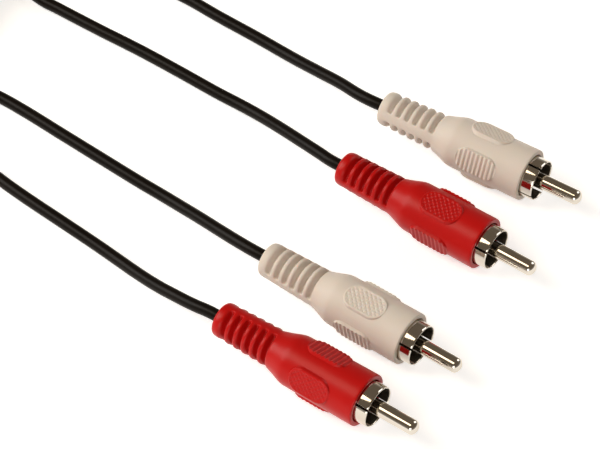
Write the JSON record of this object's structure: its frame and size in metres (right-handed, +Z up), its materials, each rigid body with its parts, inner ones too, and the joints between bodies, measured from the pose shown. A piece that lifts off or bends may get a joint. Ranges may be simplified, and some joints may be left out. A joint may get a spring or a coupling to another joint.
{
  "type": "rca audio cable",
  "caption": "Coiled audio cable that parts at both ends into thin wires with moulded phono plugs: slotted strain relief, grip pads, slit ground shell and round centre pin.",
  "frame": {"origin": "middle of the box round the plugs, on the surface they lie on", "axes": "+Z up, +Y away from the viewer in the picture, +X to the right"},
  "size_m": [0.1915, 0.1632, 0.0131],
  "materials": {
    "boot_white": "moulded soft vinyl with a satin sheen",
    "boot_red": "moulded soft vinyl with a satin sheen",
    "wire": "black vinyl jacket, slightly shiny",
    "plating": "bright nickel plating",
    "insulator": "plain black moulding",
    "core_insulation": "pale polythene",
    "copper": "bare twisted copper",
    "tie": "plain black plastic strip"
  },
  "bodies": {
    "root": {"white_a_boot": "boot_white", "white_a_shell": "plating", "white_a_insulator": "insulator", "white_a_pin": "plating", "white_a_jacket": "wire", "white_a_core": "core_insulation", "white_a_shield_tail": "copper", "white_a_wire": "wire", "red_a_boot": "boot_red", "red_a_shell": "plating", "red_a_insulator": "insulator", "red_a_pin": "plating", "red_a_jacket": "wire", "red_a_core": "core_insulation", "red_a_shield_tail": "copper", "red_a_wire": "wire", "white_b_boot": "boot_white", "white_b_shell": "plating", "white_b_insulator": "insulator", "white_b_pin": "plating", "white_b_jacket": "wire", "white_b_core": "core_insulation", "white_b_shield_tail": "copper", "white_b_wire": "wire", "red_b_boot": "boot_red", "red_b_shell": "plating", "red_b_insulator": "insulator", "red_b_pin": "plating", "red_b_jacket": "wire", "red_b_core": "core_insulation", "red_b_shield_tail": "copper", "red_b_wire": "wire", "coil": "wire", "tie": "tie"}
  },
  "joints": []
}
